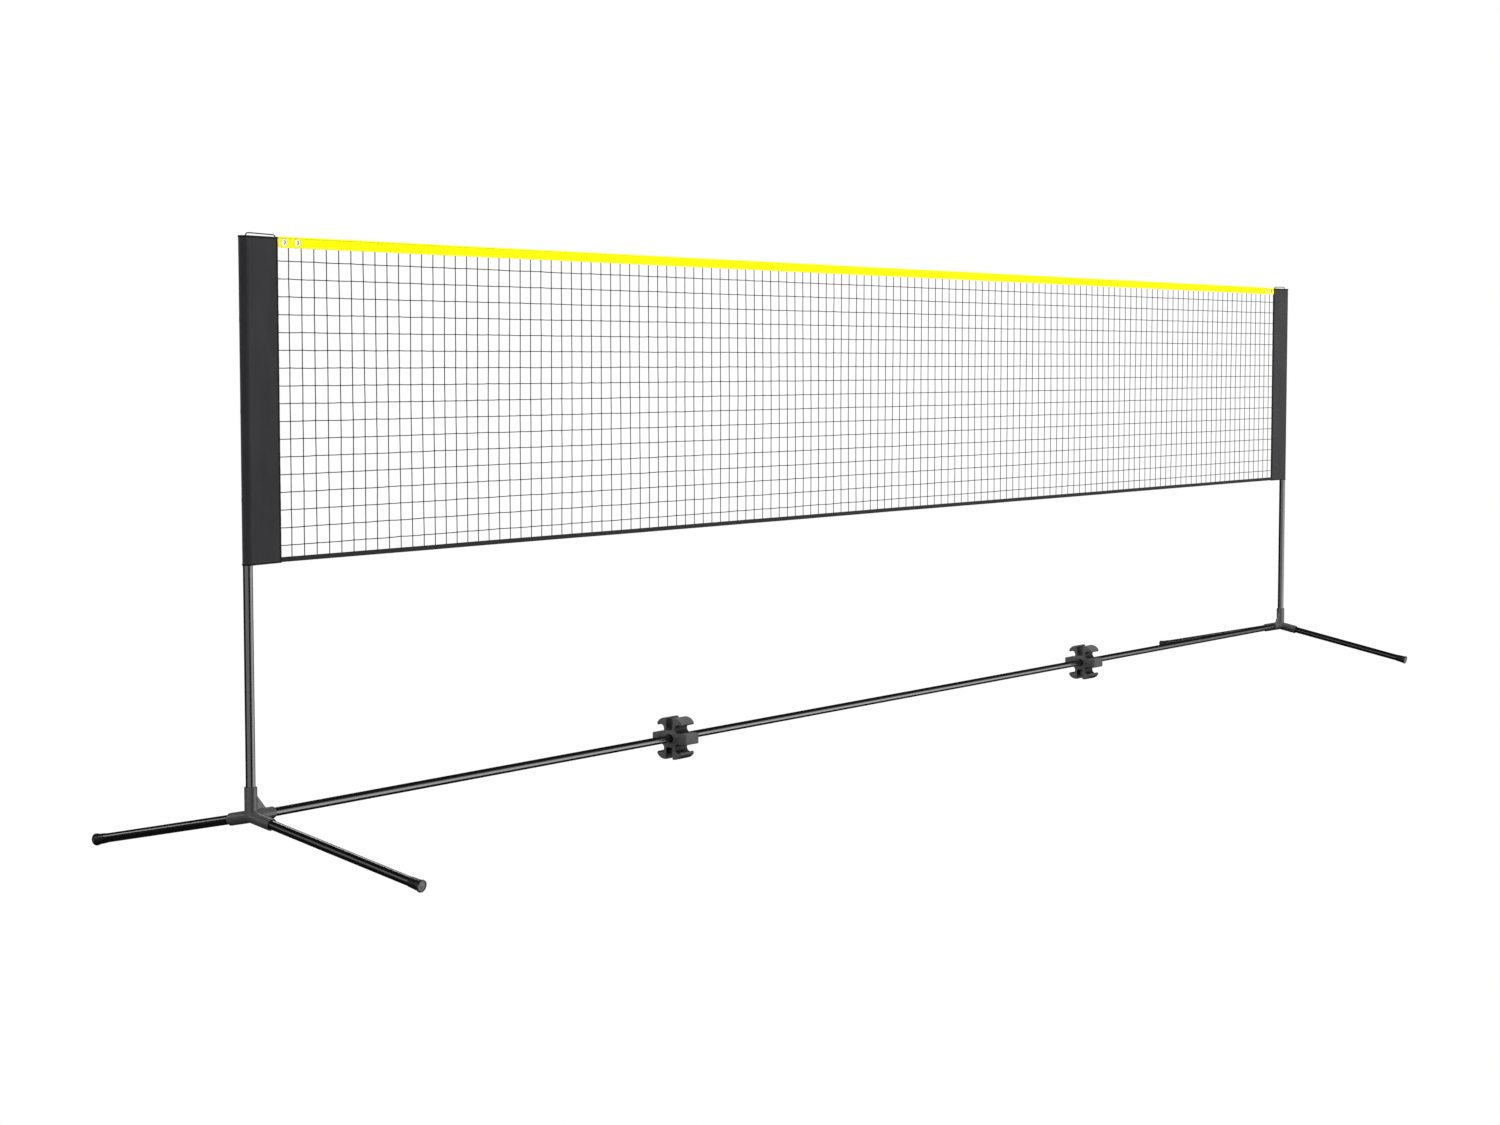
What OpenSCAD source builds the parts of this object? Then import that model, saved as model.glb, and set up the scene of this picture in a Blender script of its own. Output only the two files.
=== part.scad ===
// Portable net on two telescopic posts, joined at the floor by a sectional tube.
// Millimetres. The net lies in the XZ plane, Z is up and the floor is Z = 0.
// The origin is on the floor, midway between the two posts.

/* [Overall] */
// Distance between the axes of the two posts
post_spacing = 6062; // [5400:2:6400]
// Height of the upper edge of the net
net_top_z = 1552; // [1500:1:1600]
// Height of the floor bar's axis, where the post, the feet and the bar meet
junction_z = 128; // [110:1:150]

/* [Feet] */
// Reach of a foot from the net's plane to the middle of its cap's end
foot_reach = 560; // [400:5:700]
// Height of the middle of the cap's end
foot_tip_z = 14.5; // [14:0.5:15]
// Outer radius of the rubber cap
cap_r = 14.2; // [13.6:0.2:14.6]
// Outer radius of the rim round the cap's end, which stands on the floor
cap_rim_r = 15.8; // [15.8:0.2:17]
// Length of the rubber cap
cap_len = 38; // [25:1:60]

/* [Tubes] */
// Outer radius of the lower post tubes and the foot tubes
post_r = 12; // [12:0.5:12.5]
// Outer radius of the upper post tubes
upper_r = 10; // [9:0.5:10]
// Outer radius of the floor bar's tubes
bar_r = 11; // [10:0.5:11]
// Wall of every tube
tube_wall = 1; // [0.8:0.1:1.5]
// Height of the top of the lower post tubes
lower_top_z = 1010; // [960:5:1015]
// Overlap of the upper post tube inside the lower one
post_overlap = 138; // [100:2:200]

/* [Base connectors] */
// Height of the post socket above the junction
post_socket_h = 73; // [60:1:90]
// Length of a foot socket from the junction
foot_socket_len = 72; // [70:1:100]
// Length of the bar socket from the junction
bar_socket_len = 75; // [70:1:110]
// Wall of the sockets
socket_wall = 4; // [3:0.5:5]

/* [Storage clips] */
// Distance from the middle of the bar to the middle of a clip
clip_x = 1277.5; // [1275:0.5:1320]
// Length of a clip along the bar
clip_len = 63; // [40:1:80]
// Half the height and half the width of a clip
clip_half = 62; // [60:1:64]
// Width of the slots that hold the bar's tubes
clip_slot_w = 22.6; // [22.2:0.2:23]
// Radius of the side grooves that hold the post and foot tubes
clip_groove_r = 13; // [12.6:0.2:13]

/* [Net] */
// Number of upright threads
upright_count = 130; // [60:2:140]
// Spacing of the upright threads
upright_pitch = 44.62; // [40:0.02:44.62]
// Number of level threads
level_count = 17; // [10:1:17]
// Spacing of the level threads
level_pitch = 43.87; // [35:0.01:43.87]
// Drop from the net's upper edge to the first level thread
first_level_drop = 60.2; // [40:0.2:60.2]
// Radius of a thread
thread_r = 1.3; // [0.8:0.1:1.4]
// Height of the top tape
tape_h = 27.5; // [24:0.5:30]
// Height of the bottom band
band_h = 12.4; // [10:0.2:16]
// Thickness of the tape and of the band
tape_t = 2.4; // [2:0.2:3]
// Radius of the head cord inside the tape's upper edge
cord_r = 1.5; // [1.2:0.1:1.6]

/* [Pole sleeves] */
// Distance from a post's axis to the sleeve's inner edge
sleeve_reach = 114; // [90:1:140]
// Half the thickness of a sleeve's inner edge
sleeve_edge_half = 2; // [2:0.1:5]
// Outer radius of a sleeve's round nose, where it goes round the post
sleeve_nose_r = 13.1; // [13.1:0.1:14]
// Wall of a sleeve
sleeve_wall = 0.8; // [0.6:0.1:0.8]

/* [Hidden] */
post_x = post_spacing / 2;
foot_drop = junction_z - foot_tip_z;
foot_slope = atan(foot_drop / foot_reach);
foot_len = sqrt(foot_reach * foot_reach + foot_drop * foot_drop);
cap_end_wall = 5;
cap_rim_len = 5;
cap_recess = 1.5;
cap_recess_r = 12.5;

press_gap = 0.03;   // between pieces that are driven together
run_gap = 0.05;     // radial clearance of every sliding or turning fit
tube_floor = 22;    // where a tube's end stops in its socket, from the junction
bar_floor = 24;
post_floor_z = junction_z + 14;
post_socket_r = post_r + socket_wall;
bar_socket_r = bar_r + socket_wall;
gusset_rise = 54;
gusset_run = 50;
gusset_t = 5;

bar_sections = 7;
section_len = post_spacing / bar_sections;
spigot_len = 50;
spigot_r = bar_r - tube_wall - 0.1;
coupler_len = 55;
coupler_r = 13;

clip_arm_half = 16;
clip_groove_y = 33;
clip_groove_z = 29;
clip_core_half = 20;
clip_slot_floor = 26;
clip_shoulder = 17;
clip_tip_y = 39.5;
clip_tip_z = 44.5;
clip_tip_r = 5.5;
clip_tip_to = -100;
// The shoulder is an arc that leaves the flat top and runs smoothly into the tip's arc.
clip_round_rise = (clip_half - clip_tip_r) ^ 2 - clip_tip_z ^ 2 - (clip_tip_y - clip_shoulder) ^ 2;
clip_round_z = clip_round_rise / (2 * (clip_half - clip_tip_r - clip_tip_z));
clip_round_to = atan2(clip_tip_z - clip_round_z, clip_tip_y - clip_shoulder);

bush_len = 30;
bush_flange = 3;
upper_bottom_z = lower_top_z - post_overlap;
plug_len = 30;
plug_spigot = 20;
sleeve_bottom_z = net_top_z - 804.7;
sleeve_top_z = net_top_z - 2;
sleeve_roof = 2;
upper_top_z = sleeve_top_z - sleeve_roof - 6;
post_cap_flange = 5;
post_cap_depth = 15;
post_cap_lip = 2;

net_half = post_x - sleeve_reach;
band_bottom_z = net_top_z - 803.4;
cord_z = net_top_z - cord_r - 0.4;
tape_roll_r = cord_r + 0.4;
eyelet_z = net_top_z - 13.4;
eyelet_r = 5.5;
eyelet_barrel_r = 6.3;
eyelet_flange_r = 9.9;
eyelet_t = 4;
eyelet_outer_in = 22.5;  // from the sleeve's inner edge to the outer eyelet
eyelet_inner_in = 68.5;

// Route of the cord's end over a sleeve's top: x from the post's axis, and height
// above the net's upper edge.
loop_route = [
    [6.5, -6], [6.5, -4.5], [6.5, -3], [6.8, -0.9], [7.6, 1], [8.8, 2.7], [10.5, 3.9], [12.4, 4.7],
    [14.5, 5], [22, 5.1], [30, 5], [38, 4.8], [46, 4.6], [54, 4.4], [62, 4.2], [70, 4], [78, 3.8],
    [86, 3.6], [93, 3.4], [99.5, 3.2], [101.6, 2.9], [103.5, 2.1], [105.2, 0.9], [106.4, -0.8],
    [107.1, -2.7], [107.4, -4], [107.5, -5]
];
cord_hole_r = cord_r + 0.6;
loop_sides = 8;

// ---- Shared shapes and places -------------------------------------------------

function arc(centre, r, from, to, steps) =
    [for (i = [0 : steps]) centre + r * [cos(from + (to - from) * i / steps),
                                         sin(from + (to - from) * i / steps)]];

module tube(length, r, wall) {
    difference() {
        cylinder(h = length, r = r, $fn = 64);
        translate([0, 0, -1]) cylinder(h = length + 2, r = r - wall, $fn = 64);
    }
}

// Puts a piece at a post, with its own +X towards the net; side is -1 left, 1 right.
module at_post(side) {
    translate([side * post_x, 0, 0]) rotate([0, 0, side < 0 ? 0 : 180]) children();
}

// Lays a piece's +Z along a foot, from the junction; front is 1 towards -Y, -1 behind.
module along_foot(front) {
    translate([0, 0, junction_z]) rotate([front * (90 + foot_slope), 0, 0]) children();
}

module along_bar() {
    translate([0, 0, junction_z]) rotate([0, 90, 0]) children();
}

// Puts a piece on the left or right foot; front is taken in the whole object's frame.
module at_foot(side, front) {
    translate([side * post_x, 0, 0]) along_foot(front) children();
}

// ---- Base frame ---------------------------------------------------------------

module base_connector(side) {
    color([0.16, 0.16, 0.17]) at_post(side) difference() {
        union() {
            translate([0, 0, junction_z]) cylinder(h = post_socket_h, r = post_socket_r, $fn = 64);
            for (front = [-1, 1])
                along_foot(front) cylinder(h = foot_socket_len, r = post_socket_r, $fn = 64);
            along_bar() cylinder(h = bar_socket_len, r = bar_socket_r, $fn = 64);
            gusset();
        }
        translate([0, 0, post_floor_z]) cylinder(h = post_socket_h, r = post_r + press_gap, $fn = 64);
        for (front = [-1, 1])
            along_foot(front) translate([0, 0, tube_floor])
                cylinder(h = foot_socket_len, r = post_r + run_gap, $fn = 64);
        along_bar() translate([0, 0, bar_floor])
            cylinder(h = bar_socket_len, r = bar_r + press_gap, $fn = 64);
    }
}

module gusset() {
    root = post_r + 1;
    slope = (gusset_rise - bar_socket_r) / (gusset_run - post_socket_r);
    translate([0, 0, junction_z]) rotate([90, 0, 0])
        linear_extrude(height = gusset_t, center = true)
            polygon([
                [root, root],
                [root, gusset_rise + (post_socket_r - root) * slope],
                [gusset_run + (bar_socket_r - root) / slope, root]
            ]);
}

module lower_post_tube(side) {
    color([0.05, 0.05, 0.06]) at_post(side) translate([0, 0, post_floor_z])
        tube(lower_top_z - post_floor_z, post_r, tube_wall);
}

module guide_bush(side) {
    color([0.2, 0.2, 0.2]) at_post(side) translate([0, 0, lower_top_z]) difference() {
        union() {
            cylinder(h = bush_flange, r = post_r, $fn = 64);
            translate([0, 0, -bush_len])
                cylinder(h = bush_len + 1, r = post_r - tube_wall - press_gap, $fn = 64);
        }
        translate([0, 0, -bush_len - 1])
            cylinder(h = bush_len + bush_flange + 2, r = upper_r + run_gap, $fn = 64);
    }
}

// Every section but the last has a necked end that plugs into the next one.
module bar_tube(index) {
    x_from = index == 1 ? bar_floor - post_x : (index - 1) * section_len - post_x;
    x_to = index == bar_sections ? post_x - bar_floor : index * section_len - post_x;
    color([0.05, 0.05, 0.06]) translate([x_from, 0, 0]) along_bar() difference() {
        union() {
            cylinder(h = x_to - x_from, r = bar_r, $fn = 64);
            if (index < bar_sections)
                translate([0, 0, x_to - x_from - 1]) cylinder(h = spigot_len + 1, r = spigot_r, $fn = 64);
        }
        translate([0, 0, -1])
            cylinder(h = x_to - x_from - spigot_len + 1, r = bar_r - tube_wall, $fn = 64);
        cylinder(h = x_to - x_from + spigot_len + 1, r = spigot_r - tube_wall, $fn = 64);
        if (index == bar_sections)
            cylinder(h = x_to - x_from + 1, r = bar_r - tube_wall, $fn = 64);
    }
}

module bar_coupler(side) {
    color([0.06, 0.06, 0.07]) translate([side * clip_x - coupler_len / 2, 0, 0]) along_bar()
        tube(coupler_len, coupler_r, coupler_r - bar_r - press_gap);
}

// ---- Storage clips ------------------------------------------------------------

// One lobe of the clip: the upper right quarter, before its groove and slot are cut.
module clip_lobe() {
    polygon(concat(
        [[0, 0], [0, clip_half]],
        arc([clip_shoulder, clip_round_z], clip_half - clip_round_z, 90, clip_round_to, 8),
        arc([clip_tip_y, clip_tip_z], clip_tip_r, clip_round_to - 12, clip_tip_to, 9),
        [[clip_groove_y, clip_groove_z], [clip_groove_y, 0]]
    ));
}

module clip_outline() {
    difference() {
        union() {
            for (y = [0, 1]) for (z = [0, 1])
                mirror([y, 0]) mirror([0, z]) clip_lobe();
            square([2 * clip_half, 2 * clip_arm_half], center = true);
        }
        for (y = [-1, 1]) for (z = [-1, 1]) {
            translate([y * clip_groove_y, z * clip_groove_z]) circle(r = clip_groove_r, $fn = 48);
            translate([0, z * (clip_slot_floor + clip_slot_w / 2)]) circle(d = clip_slot_w, $fn = 48);
        }
        for (z = [-1, 1])
            translate([-clip_slot_w / 2, z > 0 ? clip_slot_floor + clip_slot_w / 2 : -clip_half - 1])
                square([clip_slot_w, clip_half + 1 - clip_slot_floor - clip_slot_w / 2]);
        circle(r = coupler_r + run_gap, $fn = 64);
    }
}

module storage_clip(side) {
    color([0.24, 0.24, 0.25]) translate([side * clip_x, 0, junction_z]) rotate([90, 0, 90])
        linear_extrude(height = clip_len, center = true) clip_outline();
}

// ---- Feet ---------------------------------------------------------------------

module foot_tube(side, front) {
    color([0.05, 0.05, 0.06]) at_foot(side, front) translate([0, 0, tube_floor])
        tube(foot_len - cap_end_wall - tube_floor, post_r, tube_wall);
}

// The cap's underside is trimmed by the floor, which gives it a small flat to stand on.
module foot_cap(side, front) {
    color([0.1, 0.1, 0.1]) difference() {
        at_foot(side, front) difference() {
            union() {
                translate([0, 0, foot_len - cap_len]) cylinder(h = cap_len, r = cap_r, $fn = 64);
                translate([0, 0, foot_len - cap_rim_len])
                    cylinder(h = cap_rim_len, r = cap_rim_r, $fn = 64);
            }
            translate([0, 0, foot_len - cap_len - 1])
                cylinder(h = cap_len - cap_end_wall + 1, r = post_r + press_gap, $fn = 64);
            translate([0, 0, foot_len - cap_recess]) cylinder(h = 5, r = cap_recess_r, $fn = 64);
        }
        translate([side * post_x, -front * foot_reach, -10]) cube([60, 200, 20], center = true);
    }
}

// ---- Upper posts --------------------------------------------------------------

module upper_post_tube(side) {
    color([0.05, 0.05, 0.06]) at_post(side) translate([0, 0, upper_bottom_z])
        tube(upper_top_z - upper_bottom_z, upper_r, tube_wall);
}

module slide_plug(side) {
    color([0.2, 0.2, 0.2]) at_post(side) translate([0, 0, upper_bottom_z]) union() {
        translate([0, 0, -plug_len])
            cylinder(h = plug_len, r = post_r - tube_wall - run_gap, $fn = 64);
        translate([0, 0, -1])
            cylinder(h = plug_spigot + 1, r = upper_r - tube_wall - press_gap, $fn = 64);
    }
}

module post_cap(side) {
    color([0.12, 0.12, 0.12]) at_post(side) difference() {
        union() {
            translate([0, 0, upper_top_z]) cylinder(h = post_cap_flange, r = upper_r + post_cap_lip, $fn = 64);
            translate([0, 0, upper_top_z - post_cap_depth])
                cylinder(h = post_cap_depth + 1, r = upper_r - tube_wall - press_gap, $fn = 64);
        }
        translate([loop_route[0][0], 0, net_top_z + loop_route[0][1]])
            cylinder(h = 20, r = cord_r + run_gap, $fn = 24);
    }
}

// ---- Net ----------------------------------------------------------------------

// Sleeve outline drawn in by inset: a nose round the post's axis, and two flat faces that
// lean in from it, by the angle lean, to a thin sewn edge.
module sleeve_outline(inset) {
    nose = sleeve_nose_r - inset;
    edge = [sleeve_reach - inset, sleeve_edge_half - inset];
    lean = asin(nose / norm(edge)) - atan2(edge.y, edge.x);
    polygon(concat(
        [edge],
        arc([0, 0], nose, 90 - lean, 270 + lean, 32),
        [[edge.x, -edge.y]]
    ));
}

module pole_sleeve(side) {
    color([0.13, 0.13, 0.14]) at_post(side) difference() {
        translate([0, 0, sleeve_bottom_z])
            linear_extrude(height = sleeve_top_z - sleeve_bottom_z) sleeve_outline(0);
        translate([0, 0, sleeve_bottom_z - 1])
            linear_extrude(height = sleeve_top_z - sleeve_roof - sleeve_bottom_z + 1)
                sleeve_outline(sleeve_wall);
        for (x = [loop_route[0][0], loop_route[len(loop_route) - 1][0]])
            translate([x, 0, sleeve_top_z - sleeve_roof - 1])
                cylinder(h = sleeve_roof + 2, r = cord_hole_r, $fn = 24);
    }
}

module eyelet_places() {
    for (side = [-1, 1]) for (inward = [eyelet_outer_in, eyelet_inner_in])
        translate([side * (net_half - inward), 0, eyelet_z]) rotate([90, 0, 0]) children();
}

module top_tape() {
    color([0.95, 0.95, 0.1]) difference() {
        union() {
            translate([-net_half, -tape_t / 2, net_top_z - tape_h])
                cube([2 * net_half, tape_t, tape_h - tape_roll_r]);
            translate([-net_half, 0, cord_z]) rotate([0, 90, 0])
                cylinder(h = 2 * net_half, r = tape_roll_r, $fn = 32);
        }
        translate([-net_half - 1, 0, cord_z]) rotate([0, 90, 0])
            cylinder(h = 2 * net_half + 2, r = cord_r + press_gap, $fn = 32);
        eyelet_places() cylinder(h = 10, r = eyelet_barrel_r + press_gap, center = true, $fn = 48);
    }
}

module head_cord() {
    color([0.1, 0.1, 0.1]) translate([-net_half, 0, cord_z]) rotate([0, 90, 0])
        cylinder(h = 2 * net_half, r = cord_r, $fn = 24);
}

module bottom_band() {
    color([0.06, 0.06, 0.06]) translate([-net_half, -tape_t / 2, band_bottom_z])
        cube([2 * net_half, tape_t, band_h]);
}

module net_upright_threads() {
    color([0.05, 0.05, 0.05])
        for (i = [0 : upright_count - 1])
            translate([(i - (upright_count - 1) / 2) * upright_pitch, thread_r + 0.05, band_bottom_z + band_h])
                cylinder(h = net_top_z - tape_h - band_bottom_z - band_h, r = thread_r, $fn = 6);
}

module net_level_threads() {
    color([0.05, 0.05, 0.05])
        for (i = [0 : level_count - 1])
            translate([-net_half, -thread_r - 0.05, net_top_z - first_level_drop - i * level_pitch])
                rotate([0, 90, 0]) cylinder(h = 2 * net_half, r = thread_r, $fn = 6);
}

module eyelet(side, inward) {
    color([0.75, 0.75, 0.78])
        translate([side * (net_half - inward), 0, eyelet_z]) rotate([90, 0, 0]) difference() {
            union() {
                cylinder(h = eyelet_t, r = eyelet_barrel_r, center = true, $fn = 48);
                for (z = [-1, 1])
                    translate([0, 0, z * (tape_t / 2 + eyelet_t / 2) / 2])
                        cylinder(h = (eyelet_t - tape_t) / 2, r = eyelet_flange_r, center = true, $fn = 48);
            }
            cylinder(h = eyelet_t + 2, r = eyelet_r, center = true, $fn = 48);
        }
}

// Sweeps a thin cord along the route, with one ring of points at each place on it.
function route_heading(i) =
    let (last = len(loop_route) - 1, step = loop_route[min(i + 1, last)] - loop_route[max(i - 1, 0)])
    atan2(step[1], step[0]);
function loop_ring(i) = [
    for (k = [0 : loop_sides - 1])
        let (a = 360 * k / loop_sides, h = route_heading(i))
        [loop_route[i][0] - cord_r * cos(a) * sin(h), cord_r * sin(a),
         net_top_z + loop_route[i][1] + cord_r * cos(a) * cos(h)]
];

module cord_end(side) {
    rings = len(loop_route);
    points = [for (i = [0 : rings - 1]) for (p = loop_ring(i)) p];
    walls = [
        for (i = [0 : rings - 2]) for (k = [0 : loop_sides - 1])
            let (next = (k + 1) % loop_sides)
            [i * loop_sides + k, (i + 1) * loop_sides + k, (i + 1) * loop_sides + next, i * loop_sides + next]
    ];
    first_face = [for (k = [0 : loop_sides - 1]) k];
    last_face = [for (k = [loop_sides - 1 : -1 : 0]) (rings - 1) * loop_sides + k];
    color([0.08, 0.08, 0.08]) at_post(side)
        polyhedron(points, concat(walls, [first_face], [last_face]));
}

// ---- Nodes --------------------------------------------------------------------

base_connector(-1);  // left_base_connector
base_connector(1);  // right_base_connector
lower_post_tube(-1);  // left_lower_post_tube
lower_post_tube(1);  // right_lower_post_tube
guide_bush(-1);  // left_guide_bush
guide_bush(1);  // right_guide_bush
bar_tube(1);  // bar_tube_1
bar_tube(2);  // bar_tube_2
bar_tube(3);  // bar_tube_3
bar_tube(4);  // bar_tube_4
bar_tube(5);  // bar_tube_5
bar_tube(6);  // bar_tube_6
bar_tube(7);  // bar_tube_7
bar_coupler(-1);  // left_bar_coupler
bar_coupler(1);  // right_bar_coupler
storage_clip(-1);  // left_storage_clip
storage_clip(1);  // right_storage_clip
foot_tube(-1, 1);  // left_front_foot_tube
foot_tube(-1, -1);  // left_rear_foot_tube
foot_tube(1, 1);  // right_front_foot_tube
foot_tube(1, -1);  // right_rear_foot_tube
foot_cap(-1, 1);  // left_front_foot_cap
foot_cap(-1, -1);  // left_rear_foot_cap
foot_cap(1, 1);  // right_front_foot_cap
foot_cap(1, -1);  // right_rear_foot_cap
upper_post_tube(-1);  // left_upper_post_tube
upper_post_tube(1);  // right_upper_post_tube
slide_plug(-1);  // left_slide_plug
slide_plug(1);  // right_slide_plug
post_cap(-1);  // left_post_cap
post_cap(1);  // right_post_cap
pole_sleeve(-1);  // left_pole_sleeve
pole_sleeve(1);  // right_pole_sleeve
top_tape();
head_cord();
bottom_band();
net_upright_threads();
net_level_threads();
eyelet(-1, eyelet_outer_in);  // left_outer_eyelet
eyelet(-1, eyelet_inner_in);  // left_inner_eyelet
eyelet(1, eyelet_inner_in);  // right_inner_eyelet
eyelet(1, eyelet_outer_in);  // right_outer_eyelet
cord_end(-1);  // left_cord_end
cord_end(1);  // right_cord_end
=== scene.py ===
import math
import random

import bmesh
import bpy
from mathutils import Matrix, Vector, noise


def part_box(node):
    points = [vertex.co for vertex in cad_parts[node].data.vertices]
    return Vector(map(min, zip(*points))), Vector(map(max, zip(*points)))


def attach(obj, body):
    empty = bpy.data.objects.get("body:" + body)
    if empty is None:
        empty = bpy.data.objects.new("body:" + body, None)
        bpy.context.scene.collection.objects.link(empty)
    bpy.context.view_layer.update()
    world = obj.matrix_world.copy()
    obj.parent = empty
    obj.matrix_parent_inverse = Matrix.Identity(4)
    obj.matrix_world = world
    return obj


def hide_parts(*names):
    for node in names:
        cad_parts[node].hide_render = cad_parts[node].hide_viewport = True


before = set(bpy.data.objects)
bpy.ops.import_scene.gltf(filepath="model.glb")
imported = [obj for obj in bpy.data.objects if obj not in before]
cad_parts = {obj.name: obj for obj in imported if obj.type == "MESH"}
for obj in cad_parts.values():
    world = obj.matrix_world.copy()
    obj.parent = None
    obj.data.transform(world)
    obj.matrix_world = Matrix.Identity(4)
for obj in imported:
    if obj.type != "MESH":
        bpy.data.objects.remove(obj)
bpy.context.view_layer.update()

# Portable net on two telescopic posts. Everything is in metres: the net lies in the
# XZ plane, +X runs along it to the right post, -Y is in front and the floor is Z = 0.

BASE = "base_frame"
NET = "net_and_upper_posts"
SIDES = {"left": -1, "right": 1}
FRONT_REAR = {"front": -1, "rear": 1}
IN_PLACE = Matrix()       # for a piece that is drawn where it belongs


def middle(node):
    """The middle of a CAD node's box."""
    low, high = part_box(node)
    return (low + high) / 2


def half_size(node):
    """Half the size of a CAD node's box along each axis."""
    low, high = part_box(node)
    return (high - low) / 2


# ---- Sizes taken from the frame ----

POST_X = middle("right_lower_post_tube").x
POST_R = half_size("right_lower_post_tube").x
BAR_R = half_size("bar_tube_4").z
JUNCTION_Z = middle("bar_tube_4").z
COUPLER_R = half_size("left_bar_coupler").z
NET_HALF = half_size("top_tape").x
NET_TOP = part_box("top_tape")[1].z
TAPE_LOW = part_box("top_tape")[0].z
BAND_LOW, BAND_HIGH = (corner.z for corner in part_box("bottom_band"))
SLEEVE_LOW, SLEEVE_TOP = (corner.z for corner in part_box("left_pole_sleeve"))

FOOT_TIP = Vector((0, 0.560, 0.0145))     # the middle of a foot's end, from under its post
FOOT_SLOPE = math.atan2(JUNCTION_Z - FOOT_TIP.z, FOOT_TIP.y)
FOOT_LEN = math.hypot(JUNCTION_Z - FOOT_TIP.z, FOOT_TIP.y)
EYELETS = {
    name: middle(name)
    for name in ("left_outer_eyelet", "left_inner_eyelet", "right_inner_eyelet", "right_outer_eyelet")
}

# ---- Camera ----

CAMERA_PLACE = (-7.8664, -4.8909, 1.2439)
CAMERA_DIP = 4.136        # degrees that it looks down
CAMERA_TURN = -54.962     # degrees that it is turned from looking along +Y


def add_camera():
    data = bpy.data.cameras.new("camera")
    data.sensor_width = 36
    data.lens = 66.577
    camera = add_object("camera", data)
    camera.location = CAMERA_PLACE
    camera.rotation_euler = (math.radians(90 - CAMERA_DIP), 0, math.radians(CAMERA_TURN))
    bpy.context.scene.camera = camera


# ---- Shared makers ----


def add_object(name, data):
    made = bpy.data.objects.new(name, data)
    bpy.context.scene.collection.objects.link(made)
    return made


def at_post(side):
    """Places a piece at a post, with its own +X towards the net; side is -1 left, 1 right."""
    return Matrix.Translation((side * POST_X, 0, 0)) @ Matrix.Rotation(0 if side < 0 else math.pi, 4, "Z")


def foot_tilt(front):
    """Turns +Z to point down along a foot; front is -1 towards -Y, 1 behind."""
    return Matrix.Rotation(-front * (math.pi / 2 + FOOT_SLOPE), 4, "X")


def along_foot(side, front):
    """Lays a piece's +Z along a foot, from the junction."""
    return Matrix.Translation((side * POST_X, 0, JUNCTION_Z)) @ foot_tilt(front)


def along_bar(x):
    """Lays a piece's +Z along the bar, towards +X from the place x."""
    return Matrix.Translation((x, 0, JUNCTION_Z)) @ Matrix.Rotation(math.pi / 2, 4, "Y")


def finish_piece(name, shape, place, body, made_of, smooth_below=35, stands_for=()):
    """Makes an object of a bmesh, or of mesh data, and hangs it on its body."""
    data = shape if isinstance(shape, bpy.types.Mesh) else to_mesh(name, shape)
    data.name = name
    data.transform(place)
    made = add_object(name, data)
    dress(data, made_of)
    data.shade_smooth()
    data.set_sharp_from_angle(angle=math.radians(smooth_below))
    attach(made, body)
    if stands_for:
        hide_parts(*stands_for)
    return made


def dress(data, material):
    data.materials.clear()
    data.materials.append(material)


def to_mesh(name, shape):
    """Turns a bmesh into mesh data with its faces pointing outwards."""
    bmesh.ops.recalc_face_normals(shape, faces=shape.faces)
    data = bpy.data.meshes.new(name)
    shape.to_mesh(data)
    shape.free()
    return data


def bridge(shape, rings, closed=False):
    """Adds faces from each ring of points to the next; closed joins the last to the first too."""
    made = [[shape.verts.new(point) for point in ring] for ring in rings]
    followers = made[1:] + made[:1] if closed else made[1:]
    for ring, follower in zip(made, followers):
        for k in range(len(ring)):
            shape.faces.new((ring[k - 1], ring[k], follower[k], follower[k - 1]))
    return made


def folded_strip(rings):
    """A strip with filled ends, from sections that go out and come back beside themselves."""
    shape = bmesh.new()
    made = bridge(shape, rings)
    for ring in (made[0], made[-1]):
        for k in range(len(ring) // 2 - 1):
            shape.faces.new((ring[k], ring[k + 1], ring[-k - 2], ring[-k - 1]))
    return shape


def lathe(profile, closed=True, sides=72):
    """Turns points (radius, height) round the Z axis; closed joins the last to the first."""
    shape = bmesh.new()
    turns = [2 * math.pi * k / sides for k in range(sides)]
    rings = [
        [(radius * math.cos(turn), radius * math.sin(turn), height) for turn in turns]
        for radius, height in profile
    ]
    bridge(shape, rings, closed)
    bmesh.ops.remove_doubles(shape, verts=shape.verts, dist=1e-7)
    return shape


def evaluated_mesh(made):
    """The object's mesh with its modifiers applied."""
    graph = bpy.context.evaluated_depsgraph_get()
    return bpy.data.meshes.new_from_object(made.evaluated_get(graph), depsgraph=graph)


def combine(base, others, operation):
    """Joins, or cuts with, other bmeshes; gives the resulting mesh data."""
    objects = []
    for i, shape in enumerate([base] + others):
        data = shape if isinstance(shape, bpy.types.Mesh) else to_mesh(f"combine_{i}", shape)
        objects.append(add_object(f"combine_{i}", data))
    for other in objects[1:]:
        modifier = objects[0].modifiers.new("combine", "BOOLEAN")
        modifier.operation = operation
        modifier.solver = "EXACT"
        modifier.object = other
    result = evaluated_mesh(objects[0])
    for made in objects:
        bpy.data.objects.remove(made)
    return result


def rod(radius, start, end, place, sides=64):
    """A plain cylinder along +Z of a place, used to build or cut other shapes."""
    shape = lathe([(0, start), (radius, start), (radius, end), (0, end)], closed=False, sides=sides)
    bmesh.ops.transform(shape, matrix=place, verts=shape.verts)
    bmesh.ops.recalc_face_normals(shape, faces=shape.faces)
    return shape


STITCH_R = 0.0003
STITCH_RISE = 0.0004


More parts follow.
